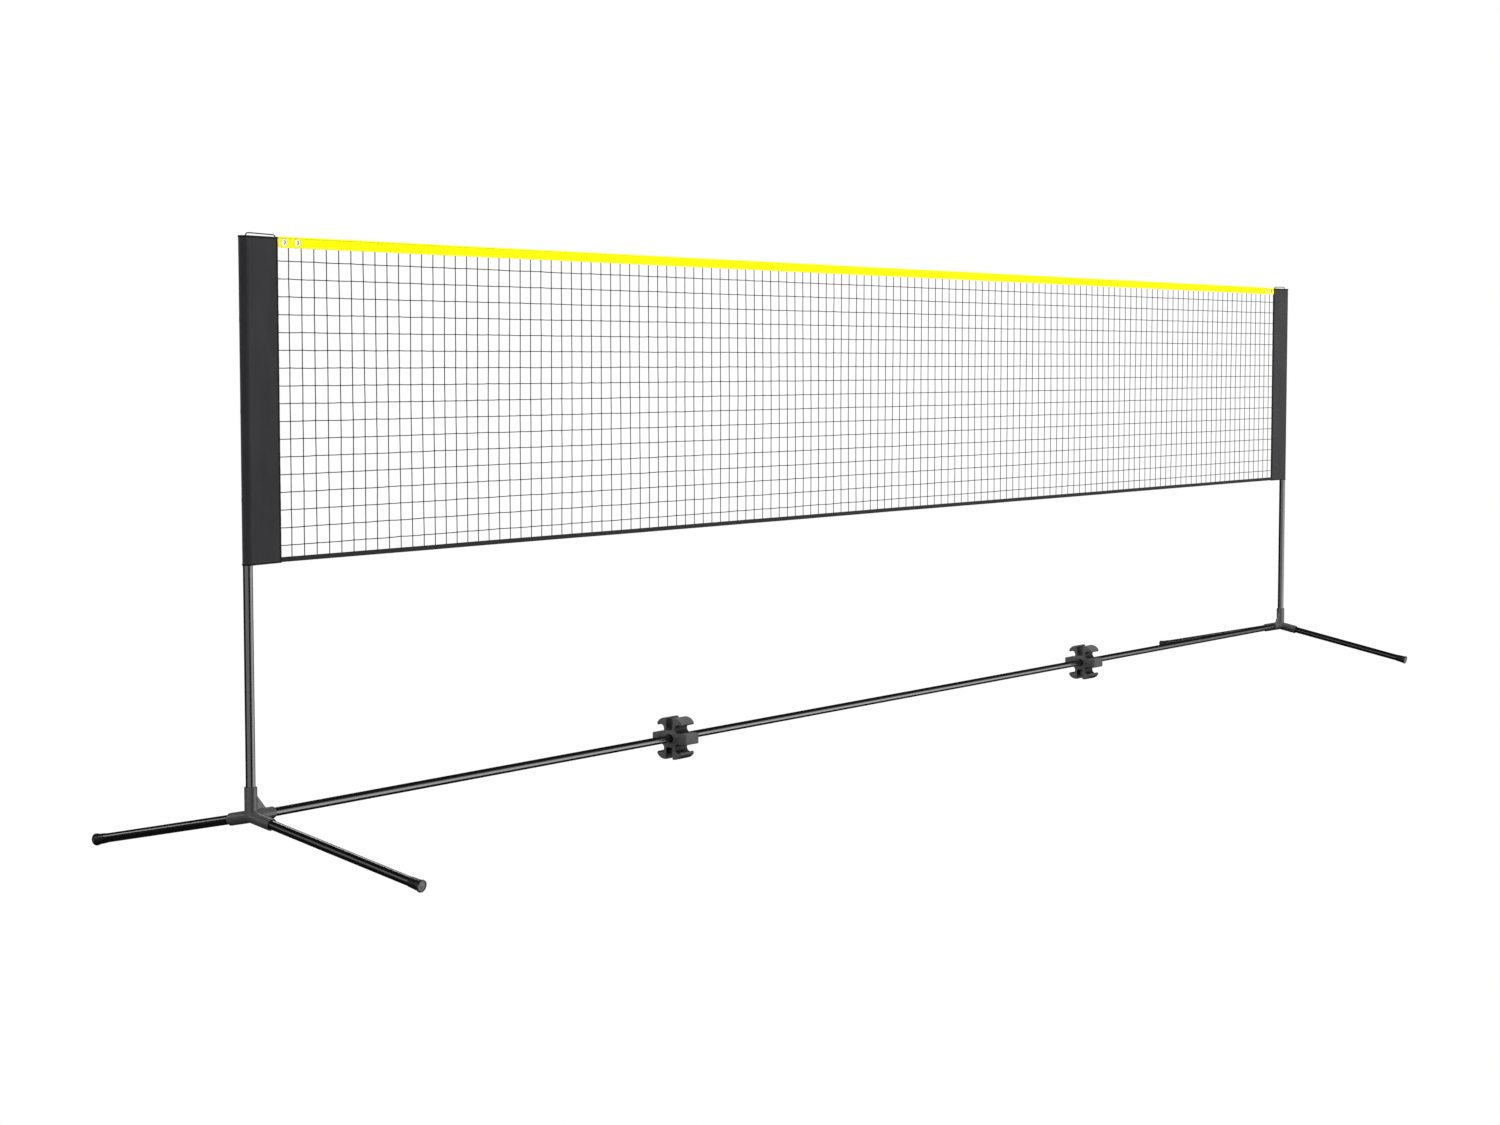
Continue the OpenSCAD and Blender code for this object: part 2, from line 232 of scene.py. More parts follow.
def add_stitches(shape, places):
    """Adds a small raised thread for each (middle, along, outward); along is half its length."""
    for centre, along, outward in places:
        across = along.cross(outward).normalized() * STITCH_R
        ends = [shape.verts.new(centre - along), shape.verts.new(centre + along)]
        ring = [
            shape.verts.new(centre + outward * STITCH_RISE),
            shape.verts.new(centre + across),
            shape.verts.new(centre - outward * STITCH_R),
            shape.verts.new(centre - across),
        ]
        for k in range(4):
            shape.faces.new((ends[0], ring[k - 1], ring[k]))
            shape.faces.new((ends[1], ring[k], ring[k - 1]))

# ---- Materials ----


def grey(level):
    return (level, level, level)


def scaled(colour, factor):
    return tuple(min(channel * factor, 1) for channel in colour)


class Material:
    """A Principled material with short calls for the textures that feed it."""

    def __init__(self, name, colour, roughness, **shader_values):
        self.data = bpy.data.materials.new(name)
        self.data.use_nodes = True
        self.data.diffuse_color = (*colour, 1)
        self.shader = self.data.node_tree.nodes["Principled BSDF"]
        uniform = {"Base Color": (*colour, 1), "Roughness": roughness, **shader_values}
        for socket, value in uniform.items():
            self.shader.inputs[socket.replace("_", " ")].default_value = value
        self.place = self.node("ShaderNodeTexCoord").outputs["Object"]
        self.bump = None

    def node(self, kind, inputs=None, **settings):
        made = self.data.node_tree.nodes.new(kind)
        for name, value in settings.items():
            setattr(made, name, value)
        for name, value in (inputs or {}).items():
            if isinstance(value, bpy.types.NodeSocket):
                self.data.node_tree.links.new(value, made.inputs[name])
            else:
                made.inputs[name].default_value = value
        return made

    def link(self, output, socket):
        self.data.node_tree.links.new(output, self.shader.inputs[socket])

    def noise(self, scale, detail=2, along=(1, 1, 1)):
        """Noise from 0 to 1 with this many features a metre, times the factors along each axis."""
        place = self.node("ShaderNodeMapping", {"Vector": self.place, "Scale": along}).outputs["Vector"]
        inputs = {"Vector": place, "Scale": scale, "Detail": detail}
        return self.node("ShaderNodeTexNoise", inputs).outputs["Fac"]

    def maths(self, operation, first, second=0.0):
        return self.node("ShaderNodeMath", {0: first, 1: second}, operation=operation).outputs[0]

    def waves(self, pitch, weights):
        """A sine from -1 to 1 along the direction of the weights."""
        dot = self.node("ShaderNodeVectorMath", {0: self.place, 1: weights}, operation="DOT_PRODUCT")
        return self.maths("SINE", self.maths("MULTIPLY", dot.outputs["Value"], 2 * math.pi / pitch))

    def weave(self, pitch, across=(1, 1, 0), up=(0, 0, 1)):
        """A plain weave's height from 0 to 1."""
        product = self.maths("MULTIPLY", self.waves(2 * pitch, across), self.waves(2 * pitch, up))
        return self.maths("MULTIPLY_ADD", product, 0.5)

    def remap(self, value, low, high, from_low=0.0, from_high=1.0):
        ranges = {"From Min": from_low, "From Max": from_high, "To Min": low, "To Max": high}
        return self.node("ShaderNodeMapRange", {"Value": value, **ranges}).outputs["Result"]

    def colours(self, value, dark, light):
        """Mixes two colours by a value from 0 to 1 and gives them to the shader."""
        ramp = self.node("ShaderNodeValToRGB", {"Fac": value})
        ramp.color_ramp.elements[0].color = (*dark, 1)
        ramp.color_ramp.elements[1].color = (*light, 1)
        self.link(ramp.outputs["Color"], "Base Color")

    def roughness(self, value, low, high):
        self.link(self.remap(value, low, high, 0.3, 0.7), "Roughness")

    def raised(self, height, strength, distance):
        """Adds a bump on top of the bumps before it; distance is its height in metres."""
        inputs = {"Height": height, "Strength": strength, "Distance": distance}
        if self.bump is not None:
            inputs["Normal"] = self.bump
        self.bump = self.node("ShaderNodeBump", inputs).outputs["Normal"]
        self.link(self.bump, "Normal")


def mottled(name, colour, roughness, shades, glosses, grain, **shader_values):
    """A material whose colour, roughness and bumps each follow a noise of their own.

    Each of the three starts with its noise's scale and detail. Then come the darkest and
    lightest colour, the lowest and highest roughness, or the bumps' strength and height.
    """
    made = Material(name, colour, roughness, **shader_values)
    made.colours(made.noise(*shades[:2]), *shades[2:])
    made.roughness(made.noise(*glosses[:2]), *glosses[2:])
    made.raised(made.noise(*grain[:2]), *grain[2:])
    return made.data


def moulded_plastic(name, colour, roughness):
    """Spark-textured moulded plastic with slight shade changes and rubbed spots."""
    shades = (25, 5, scaled(colour, 0.82), scaled(colour, 1.2))
    glosses = (70, 4, roughness - 0.07, roughness + 0.08)
    return mottled(name, colour, roughness, shades, glosses, (1400, 3, 0.2, 0.0003))


def sleeve_cloth():
    """Charcoal oxford cloth: a plain weave with slubs, sheen, and soft shade changes."""
    cloth = Material("sleeve_cloth", (0.024, 0.024, 0.026), 0.82, Specular_IOR_Level=0.15,
                     Sheen_Weight=0.08, Sheen_Roughness=0.45)
    shade = cloth.noise(14, 6, along=(1, 1, 0.35))
    yarn = cloth.noise(420, 2, along=(0.12, 0.12, 1))
    mixed = cloth.maths("ADD", cloth.maths("MULTIPLY", shade, 0.65), cloth.maths("MULTIPLY", yarn, 0.35))
    cloth.colours(cloth.remap(mixed, 0, 1, 0.3, 0.7), (0.019, 0.019, 0.021), (0.030, 0.030, 0.032))
    cloth.roughness(yarn, 0.76, 0.9)
    cloth.raised(cloth.noise(55, 4, along=(1, 1, 0.5)), 0.35, 0.002)
    cloth.raised(cloth.weave(0.0007), 0.55, 0.0003)
    return cloth.data


def tape_cloth():
    """Bright yellow woven tape."""
    cloth = Material("tape_cloth", (0.93, 0.94, 0.004), 0.72, Specular_IOR_Level=0.05)
    cloth.colours(cloth.noise(30, 5), (0.94, 0.94, 0.001), (0.98, 0.99, 0.003))
    cloth.roughness(cloth.noise(300), 0.64, 0.8)
    cloth.raised(cloth.noise(70, 3), 0.2, 0.001)
    cloth.raised(cloth.weave(0.0008), 0.45, 0.0002)
    return cloth.data


def webbing(name, colour):
    """Black woven binding."""
    cloth = Material(name, colour, 0.75, Specular_IOR_Level=0.2)
    cloth.colours(cloth.noise(90, 4), colour, scaled(colour, 1.7))
    cloth.roughness(cloth.noise(260), 0.66, 0.84)
    cloth.raised(cloth.weave(0.0009), 0.6, 0.0003)
    return cloth.data


def twisted_twine():
    """Black netting twine, with its strands winding round it."""
    twine = Material("twisted_twine", grey(0.010), 0.6)
    twine.colours(twine.noise(120, 3), grey(0.007), grey(0.017))
    twine.roughness(twine.noise(400), 0.5, 0.7)
    twine.raised(twine.maths("MULTIPLY_ADD", twine.waves(0.0026, (1, 0.8, 1)), 0.5), 0.8, 0.0003)
    return twine.data


def braided_cord():
    """Black braid: two sets of strands that cross."""
    cord = Material("braided_cord", grey(0.012), 0.55)
    cord.colours(cord.noise(200, 3), grey(0.009), grey(0.022))
    cord.roughness(cord.noise(500), 0.45, 0.65)
    cord.raised(cord.weave(0.0007, across=(1, 1, 0.7), up=(-1, 1, 0.7)), 0.9, 0.0003)
    return cord.data


def stitching(name, colour):
    """Sewing thread with its twist."""
    thread = Material(name, colour, 0.6)
    thread.colours(thread.noise(250, 3), colour, scaled(colour, 1.25))
    thread.raised(thread.waves(0.0005, (1, 1, 1)), 0.5, 0.0001)
    return thread.data


def nickel():
    """Plated eyelet metal with fine streaks."""
    metal = Material("nickel", (0.93, 0.93, 0.94), 0.42, Metallic=1.0)
    metal.colours(metal.noise(120, 4), (0.90, 0.90, 0.91), (0.96, 0.96, 0.97))
    metal.roughness(metal.noise(700, 3, along=(1, 1, 0.2)), 0.34, 0.5)
    metal.raised(metal.noise(500), 0.06, 0.0002)
    return metal.data


PAINT = mottled("tube_paint", grey(0.0015), 0.2, (60, 4, grey(0.001), grey(0.0025)), (220, 3, 0.17, 0.27),
                (900, 2, 0.12, 0.0002), IOR=1.8, Coat_Weight=0.5, Coat_Roughness=0.12)
CONNECTOR = moulded_plastic("connector_plastic", (0.044, 0.044, 0.046), 0.34)
SLIDE = moulded_plastic("slide_plastic", grey(0.03), 0.4)
RUBBER = mottled("cap_rubber", grey(0.005), 0.27, (45, 5, grey(0.003), grey(0.008)), (90, 4, 0.22, 0.36),
                 (1100, 2, 0.06, 0.0003))
DISC = mottled("cap_end_disc", grey(0.13), 0.5, (160, 4, grey(0.11), grey(0.165)), (300, 2, 0.42, 0.6),
               (1400, 2, 0.3, 0.0003))
SLEEVE = sleeve_cloth()
TAPE = tape_cloth()
BAND = webbing("band_webbing", (0.012, 0.012, 0.0125))
BINDING = webbing("binding_webbing", grey(0.004))
TWINE = twisted_twine()
CORD = braided_cord()
YELLOW_THREAD = stitching("yellow_thread", (0.78, 0.79, 0.02))
BLACK_THREAD = stitching("black_thread", grey(0.018))
NICKEL = nickel()

# ---- Cord ends ----

CORD_R = 0.0015
# Across a sleeve's top: x from the post's axis towards the net, and height over NET_TOP.
LOOP_ROUTE = [
    (0.0065, -0.006), (0.0065, -0.0045), (0.0065, -0.003), (0.0068, -0.0009), (0.0076, 0.001),
    (0.0088, 0.0027), (0.0105, 0.0039), (0.0124, 0.0047), (0.0145, 0.005), (0.022, 0.0051),
    (0.030, 0.005), (0.038, 0.0048), (0.046, 0.0046), (0.054, 0.0044), (0.062, 0.0042), (0.070, 0.004),
    (0.078, 0.0038), (0.086, 0.0036), (0.093, 0.0034), (0.0995, 0.0032), (0.1016, 0.0029),
    (0.1035, 0.0021), (0.1052, 0.0009), (0.1064, -0.0008), (0.1071, -0.0027), (0.1074, -0.004),
    (0.1075, -0.005),
]
CORD_HOLE_R = CORD_R + 0.0006


def smooth_path(points, steps):
    """A Catmull-Rom curve through the points, with this many steps between two of them."""
    padded = [2 * points[0] - points[1]] + points + [2 * points[-1] - points[-2]]
    path = []
    for a, b, c, d in zip(padded, padded[1:], padded[2:], padded[3:]):
        for k in range(steps):
            t = k / steps
            path.append(0.5 * (2 * b + (c - a) * t + (2 * a - 5 * b + 4 * c - d) * t ** 2
                               + (3 * b - 3 * c + d - a) * t ** 3))
    return path + [points[-1]]


def sweep(shape, path, radius, sides, across):
    """Adds a closed round tube along a path that is square to the across direction."""
    turns = [2 * math.pi * k / sides for k in range(sides)]
    rings = []
    for i, centre in enumerate(path):
        heading = (path[min(i + 1, len(path) - 1)] - path[max(i - 1, 0)]).normalized()
        other = heading.cross(across)
        rings.append([
            centre + (across * math.cos(turn) + other * math.sin(turn)) * radius for turn in turns
        ])
    made = bridge(shape, rings)
    shape.faces.new(made[0])
    shape.faces.new(list(reversed(made[-1])))


def add_cord_end(side_name):
    """The head cord's end: out of the post's cap, over the sleeve and down to the net."""
    place = at_post(SIDES[side_name])
    path = smooth_path([Vector((x, 0, NET_TOP + rise)) for x, rise in LOOP_ROUTE], 4)
    shape = bmesh.new()
    sweep(shape, path, CORD_R, 16, Vector((0, 1, 0)))
    cord = finish_piece(f"{side_name}_cord_end_braid", shape, place, NET, CORD,
                        smooth_below=60, stands_for=[f"{side_name}_cord_end"])


# ---- Tubes ----

TUBE_WALL = 0.001
TUBE_CHAMFER = 0.0004
COUPLER_EDGE = 0.0006
PRESS_GAP = 0.00003       # round a tube that is pressed into a coupler or cap
TUBE_FLOOR = 0.022        # from the junction to a foot tube's end in its socket
BAR_SECTIONS = 7
SPIGOT_LEN = 0.050
SPIGOT_R = BAR_R - TUBE_WALL - 0.0001


def chamfered(profile):
    """Cuts each corner of a closed outline, by less than TUBE_CHAMFER on a short side."""
    cut = []
    for i, corner in enumerate(profile):
        here = Vector(corner)
        for other in (profile[i - 1], profile[(i + 1) % len(profile)]):
            reach = Vector(other) - here
            cut.append(tuple(here + reach.normalized() * min(TUBE_CHAMFER, reach.length / 3)))
    return cut


def plain_tube(radius, start, end):
    """The section of a tube, as points (radius, height)."""
    inner = radius - TUBE_WALL
    return [(inner, start), (radius, start), (radius, end), (inner, end)]


def add_painted_tube(node, profile, place, body=BASE):
    """A turned tube that takes the place of a CAD node."""
    finish_piece(f"{node}_painted", lathe(profile), place, body, PAINT, stands_for=[node])


def add_bar():
    """Seven tubes; all but the last have a necked end that plugs into the next one."""
    inner = BAR_R - TUBE_WALL
    neck_inner = SPIGOT_R - TUBE_WALL
    for index in range(1, BAR_SECTIONS + 1):
        name = f"bar_tube_{index}"
        low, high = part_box(name)
        end = high.x - low.x
        shoulder = end - SPIGOT_LEN
        profile = [
            (inner, 0), (BAR_R, 0), (BAR_R, shoulder), (SPIGOT_R, shoulder), (SPIGOT_R, end),
            (neck_inner, end), (neck_inner, shoulder - SPIGOT_LEN), (inner, shoulder - SPIGOT_LEN),
        ]
        if index == BAR_SECTIONS:
            profile = plain_tube(BAR_R, 0, end)
        add_painted_tube(name, chamfered(profile), along_bar(low.x))


def add_coupler(side_name):
    """The short sleeve over the bar on which a clip turns, with its edges rolled in."""
    name = f"{side_name}_bar_coupler"
    low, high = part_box(name)
    length = high.x - low.x
    bore = BAR_R + PRESS_GAP
    lip = COUPLER_R - COUPLER_EDGE
    roll = 2 * COUPLER_EDGE
    edge = [(bore, 0), (lip, 0), (COUPLER_R, roll)]
    profile = edge + [(radius, length - height) for radius, height in reversed(edge)]
    add_painted_tube(name, profile, along_bar(low.x))


def add_lower_post(side_name):
    name = f"{side_name}_lower_post_tube"
    low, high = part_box(name)
    profile = plain_tube(POST_R, low.z, high.z)
    add_painted_tube(name, chamfered(profile), at_post(SIDES[side_name]))


def add_foot(side_name, front_name):
    """A foot tube and its rubber cap, with the cap's lighter end disc."""
    name = f"{side_name}_{front_name}_foot"
    place = along_foot(SIDES[side_name], FRONT_REAR[front_name])
    profile = plain_tube(POST_R, TUBE_FLOOR, FOOT_LEN - CAP_END_WALL)
    add_painted_tube(f"{name}_tube", chamfered(profile), place, name)
    finish_piece(f"{name}_cap_moulded", foot_cap(place), IN_PLACE, name, RUBBER,
                 stands_for=[f"{name}_cap"])
    finish_piece(f"{name}_cap_disc", foot_disc(), place, name, DISC)


CAP_LEN = 0.038
CAP_END_WALL = 0.005
CAP_R = 0.0142
CAP_RIM_R = 0.0158
CAP_RIM_LEN = 0.005
CAP_TAPER = 0.026
CAP_RECESS = 0.0015
CAP_RECESS_R = 0.0125


def foot_cap(place):
    """A turned cap: a lip, a long taper, a rounded rim and a sunk end, cut flat by the floor."""
    start = FOOT_LEN - CAP_LEN
    end = FOOT_LEN
    rim = end - CAP_RIM_LEN
    bore = POST_R + PRESS_GAP
    profile = [
        (bore, start), (POST_R + 0.0005, start), (POST_R + 0.0009, start + 0.0005),
        (CAP_R - 0.0004, start + CAP_TAPER - 0.002), (CAP_R - 0.0001, start + CAP_TAPER),
        (CAP_R, start + CAP_TAPER + 0.003), (CAP_R, rim - 0.0016), (CAP_R + 0.0005, rim - 0.0004),
        (CAP_RIM_R - 0.0005, rim + 0.0001), (CAP_RIM_R, rim + 0.0007), (CAP_RIM_R, end - 0.0010),
        (CAP_RIM_R - 0.0004, end - 0.0003), (CAP_RIM_R - 0.0011, end), (CAP_RECESS_R + 0.0006, end),
        (CAP_RECESS_R, end - 0.0005), (CAP_RECESS_R, end - CAP_RECESS), (0, end - CAP_RECESS),
        (0, end - CAP_END_WALL + 0.0002), (bore, end - CAP_END_WALL + 0.0002),
    ]
    shape = lathe(profile)
    bmesh.ops.transform(shape, matrix=place, verts=shape.verts)
    for corner in shape.verts:
        corner.co.z = max(corner.co.z, 0)
    return shape


def foot_disc():
    """The disc in a cap's end: shallow rings and a slightly raised middle."""
    level = FOOT_LEN - CAP_RECESS
    profile = [
        (0, level - 0.0002), (0.0121, level - 0.0002), (0.0121, level + 0.0004), (0.0116, level + 0.0007),
        (0.0098, level + 0.0007), (0.0094, level + 0.0004), (0.0060, level + 0.0004),
        (0.0056, level + 0.0007), (0.0018, level + 0.0009), (0, level + 0.0009),
    ]
    return lathe(profile, closed=False, sides=48)


# ---- Base connectors ----

SOCKET_WALL = 0.004
POST_SOCKET_R = POST_R + SOCKET_WALL
BAR_SOCKET_R = BAR_R + SOCKET_WALL
POST_SOCKET_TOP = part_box("left_base_connector")[1].z
FOOT_SOCKET_LEN = 0.072
BAR_SOCKET_LEN = 0.075
POST_FLOOR = 0.014        # from the junction to a post tube's lower end
BAR_FLOOR = 0.024
GUSSET_RISE = 0.054
GUSSET_RUN = 0.050
GUSSET_T = 0.005
SOCKET_GAP = 0.0003
FLOOR_GAP = 0.0005        # under a foot's or the bar's end
PAST_MOUTH = 0.01         # how far a cutter stands out of its socket
MOULD_VOXEL = 0.0012
MOULD_ROUNDS = 2          # of smoothing


def gusset():
    """The web between the post's socket and the bar's, in the net's plane."""
    root = 0.005              # hidden deep in the sockets' middle
    sunk = 0.001              # how far its corners go under the sockets' skins
    over = 0.004              # how much further its hidden corners reach
    outline = [
        (root, root), (root, GUSSET_RISE + over), (POST_SOCKET_R - sunk, GUSSET_RISE + sunk),
        (GUSSET_RUN + sunk, BAR_SOCKET_R - sunk), (GUSSET_RUN + over, root),
    ]
    shape = bmesh.new()
    corners = [shape.verts.new((x, -GUSSET_T / 2, JUNCTION_Z + z)) for x, z in outline]
    face = shape.faces.new(corners)
    grown = bmesh.ops.extrude_face_region(shape, geom=[face])
    new_corners = [item for item in grown["geom"] if isinstance(item, bmesh.types.BMVert)]
    bmesh.ops.translate(shape, verts=new_corners, vec=(0, GUSSET_T, 0))
    bmesh.ops.recalc_face_normals(shape, faces=shape.faces)
    return shape


def connector_solids():
    """The sockets and web that make up a connector, about its own post, as plain solids."""
    upright = Matrix.Translation((0, 0, JUNCTION_Z))
    feet = [upright @ foot_tilt(front) for front in FRONT_REAR.values()]
    bar = along_bar(0)
    post_len = POST_SOCKET_TOP - JUNCTION_Z
    solids = [rod(POST_SOCKET_R, -0.001, post_len, upright)]
    solids += [rod(POST_SOCKET_R, 0, FOOT_SOCKET_LEN, foot) for foot in feet]
    solids += [rod(BAR_SOCKET_R, 0, BAR_SOCKET_LEN, bar), gusset()]
    bore_r = POST_R + SOCKET_GAP
    bores = [rod(bore_r, POST_FLOOR, post_len + PAST_MOUTH, upright)]
    bores += [rod(bore_r, TUBE_FLOOR - FLOOR_GAP, FOOT_SOCKET_LEN + PAST_MOUTH, foot) for foot in feet]
    bores += [rod(BAR_R + SOCKET_GAP, BAR_FLOOR - FLOOR_GAP, BAR_SOCKET_LEN + PAST_MOUTH, bar)]
    return solids, bores


def moulded(data):
    """Remeshes a solid evenly and softens it, as a moulding's edges and fillets are."""
    made = add_object("moulding", data)
    remesh = made.modifiers.new("remesh", "REMESH")
    remesh.mode = "VOXEL"
    remesh.voxel_size = MOULD_VOXEL
    smooth = made.modifiers.new("smooth", "SMOOTH")
    smooth.factor = 0.5
    smooth.iterations = MOULD_ROUNDS
    result = evaluated_mesh(made)
    bpy.data.objects.remove(made)
    return result


def add_connector(side_name):
    name = f"{side_name}_base_connector"
    solids, bores = connector_solids()
    joined = combine(solids[0], solids[1:], "UNION")
    data = moulded(combine(joined, bores, "DIFFERENCE"))
    finish_piece(f"{name}_moulded", data, at_post(SIDES[side_name]), BASE, CONNECTOR,
                 smooth_below=50, stands_for=[name])


# ---- Storage clips ----

CLIP_LEN = 2 * half_size("left_storage_clip").x
CLIP_HALF = half_size("left_storage_clip").z
CLIP_ARM = 0.016
CLIP_SHOULDER = 0.017
SLOT_R = 0.0113
SLOT_CENTRE = 0.0373
GROOVE_CENTRE = (0.033, 0.029)
GROOVE_R = 0.013
LOBE_TIP = (0.0395, 0.0445)
LOBE_TIP_R = 0.0055
# The shoulder is an arc that leaves the flat top and runs smoothly into the tip's arc.
ROUND_RISE = (CLIP_HALF - LOBE_TIP_R) ** 2 - LOBE_TIP[1] ** 2 - (LOBE_TIP[0] - CLIP_SHOULDER) ** 2
ROUND_Z = ROUND_RISE / (2 * (CLIP_HALF - LOBE_TIP_R - LOBE_TIP[1]))
ROUND_END = math.degrees(math.atan2(LOBE_TIP[1] - ROUND_Z, LOBE_TIP[0] - CLIP_SHOULDER))
LOBE_END = -73.7          # degrees, where the tip's arc ends
GROOVE_START = 51.8       # and where the groove's begins
MOUTH_R = 0.002
CORNER_R = 0.003
CLIP_EDGE = 0.0009
PAINTED_SHADE_BLEND = 0.0006     # how far over an edge the painted shade of a recess fades out


def clip_plastic():
    """Spark-textured plastic, with painted shade making it darker inside the slots and grooves, where
    little light reaches.
    """
    plastic = Material("clip_plastic", (0.062, 0.062, 0.064), 0.5, Specular_IOR_Level=0.2)
    axes = plastic.node("ShaderNodeSeparateXYZ", {"Vector": plastic.place}).outputs
    y = plastic.maths("ABSOLUTE", axes["Y"])
    z = plastic.maths("ABSOLUTE", plastic.maths("SUBTRACT", axes["Z"], JUNCTION_Z))
    # painted shade: masks for the insides of the slots and grooves, which the colour darkens as shade would
    slot_floor = SLOT_CENTRE - SLOT_R
    between = plastic.remap(y, 1, 0, SLOT_R, SLOT_R + PAINTED_SHADE_BLEND)
    beyond = plastic.remap(z, 0, 1, slot_floor - PAINTED_SHADE_BLEND, slot_floor)
    slot_painted_shade = plastic.maths("MULTIPLY", between, beyond)
    off_y = plastic.maths("SUBTRACT", y, GROOVE_CENTRE[0])
    off_z = plastic.maths("SUBTRACT", z, GROOVE_CENTRE[1])
    squares = [plastic.maths("MULTIPLY", off, off) for off in (off_y, off_z)]
    away = plastic.maths("SQRT", plastic.maths("ADD", *squares))
    groove_painted_shade = plastic.remap(away, 1, 0, GROOVE_R, GROOVE_R + PAINTED_SHADE_BLEND)
    recess_painted_shade = plastic.maths("MAXIMUM", slot_painted_shade, groove_painted_shade)
    shade = plastic.remap(plastic.noise(25, 5), 0.68, 1)
    # random tone, darkened by the painted shade in the slots and grooves
    tone_with_painted_shade = plastic.maths("MULTIPLY", shade, plastic.remap(recess_painted_shade, 1, 0.1))
    plastic.colours(tone_with_painted_shade, (0.010, 0.010, 0.0105), (0.072, 0.072, 0.074))
    plastic.roughness(plastic.noise(70, 4), 0.43, 0.58)
    plastic.raised(plastic.noise(1400, 3), 0.3, 0.0003)
    return plastic.data


CLIP = clip_plastic()


def arc(centre, radius, start, end, steps):
    """Points of an arc, with its angles in degrees."""
    turns = [math.radians(start + (end - start) * k / steps) for k in range(steps + 1)]
    return [(centre[0] + radius * math.cos(turn), centre[1] + radius * math.sin(turn)) for turn in turns]


def clip_quarter():
    """The upper right quarter of a clip's outline, from the slot's floor to the arm's end."""
    mouth = (SLOT_R + MOUTH_R, CLIP_HALF - MOUTH_R)
    arm_end = CLIP_HALF - CORNER_R
    return (
        arc((0, SLOT_CENTRE), SLOT_R, -90, 0, 10)
        + arc(mouth, MOUTH_R, 180, 90, 4)
        + arc((CLIP_SHOULDER, ROUND_Z), CLIP_HALF - ROUND_Z, 90, ROUND_END, 9)[:-1]
        + arc(LOBE_TIP, LOBE_TIP_R, ROUND_END, LOBE_END, 10)
        + arc(GROOVE_CENTRE, GROOVE_R, GROOVE_START, 270, 24)
        + arc((arm_end, CLIP_ARM - CORNER_R), CORNER_R, 90, 0, 5)
    )


def clip_outline():
    quarter = clip_quarter()
    right = quarter + [(y, -z) for y, z in reversed(quarter)]
    return right + [(-y, z) for y, z in reversed(right)]


def add_clip(side_name):
    """A clip of extruded plastic with rounded edges, which turns on the coupler inside it."""
    name = f"{side_name}_storage_clip"
    curve = bpy.data.curves.new(name, "CURVE")
    curve.dimensions = "2D"
    curve.fill_mode = "BOTH"
    curve.extrude = CLIP_LEN / 2 - CLIP_EDGE
    curve.bevel_depth = CLIP_EDGE
    curve.bevel_resolution = 2
    curve.offset = -CLIP_EDGE
    bore = arc((0, 0), COUPLER_R + 0.0002, 0, 360 - 360 / 64, 63)
    for outline in (clip_outline(), bore):
        spline = curve.splines.new("POLY")
        spline.points.add(len(outline) - 1)
        for point, (y, z) in zip(spline.points, outline):
            point.co = (y, z, 0, 1)
        spline.use_cyclic_u = True
    flat = add_object(name + "_flat", curve)
    data = evaluated_mesh(flat)
    bpy.data.objects.remove(flat)
    standing = Matrix(((0, 0, 1, 0), (1, 0, 0, 0), (0, 1, 0, 0), (0, 0, 0, 1)))
    finish_piece(f"{name}_moulded", welded(data), Matrix.Translation(middle(name)) @ standing,
                 f"{side_name}_clip", CLIP, smooth_below=32, stands_for=[name])


def welded(data):
    """Joins the points that a filled curve leaves doubled, so that the mesh is one solid."""
    shape = bmesh.new()
    shape.from_mesh(data)
    bmesh.ops.remove_doubles(shape, verts=shape.verts, dist=1e-6)
    return shape


# ---- Net ----

UPRIGHTS = 130
UPRIGHT_PITCH = 0.04462
LEVELS = 17
LEVEL_PITCH = 0.04387
FIRST_LEVEL_DROP = 0.0602
THREAD_R = 0.0013
THREAD_SIDES = 6
KNOT_R = 0.0026
TAPE_ROLL_Z = NET_TOP - 0.0019
CALM_END = 0.15           # the drift fades in over this length, past a flat end 0.6 times as long
DRIFT = 0.0022            # scale of how far the net hangs out of its plane
SLIP = 0.0006             # how far a crossing may sit out of line
THREAD_SAG = 0.0004
THREAD_TUCK = 0.004       # length of an upright thread inside the tape and the band


def drift(x, z):
    """How far the net hangs out of its plane: nothing at the head cord and at its ends."""
    calm = max(min((NET_HALF - abs(x)) / CALM_END - 0.6, 1), 0)
    calm = calm * calm * (3 - 2 * calm)
    below = min(max((TAPE_ROLL_Z - z) / 0.4, 0), 1)
    wave = math.sin(x * 2.9 + 1.3) + 0.6 * math.sin(x * 6.7 + z * 3) + 0.3 * math.sin(x * 15 - z * 5)
    return DRIFT * calm * below * wave


def upright_x(column):
    return (column - (UPRIGHTS - 1) / 2) * UPRIGHT_PITCH


def level_z(row):
    return NET_TOP - FIRST_LEVEL_DROP - row * LEVEL_PITCH


def crossing(column, row):
    """Where an upright and a level thread cross; each crossing sits a little out of line."""
    chance = random.Random(column * 1000 + row)
    x = upright_x(column) + chance.uniform(-SLIP, SLIP)
    z = level_z(row) + chance.uniform(-SLIP, SLIP)
    return Vector((x, drift(x, z), z))


def thread_path(stops, bow):
    """Adds a middle point, bowed a little, between each two stops of a thread."""
    path = [stops[0]]
    for a, b in zip(stops, stops[1:]):
        path += [(a + b) / 2 + bow, b]
    return path


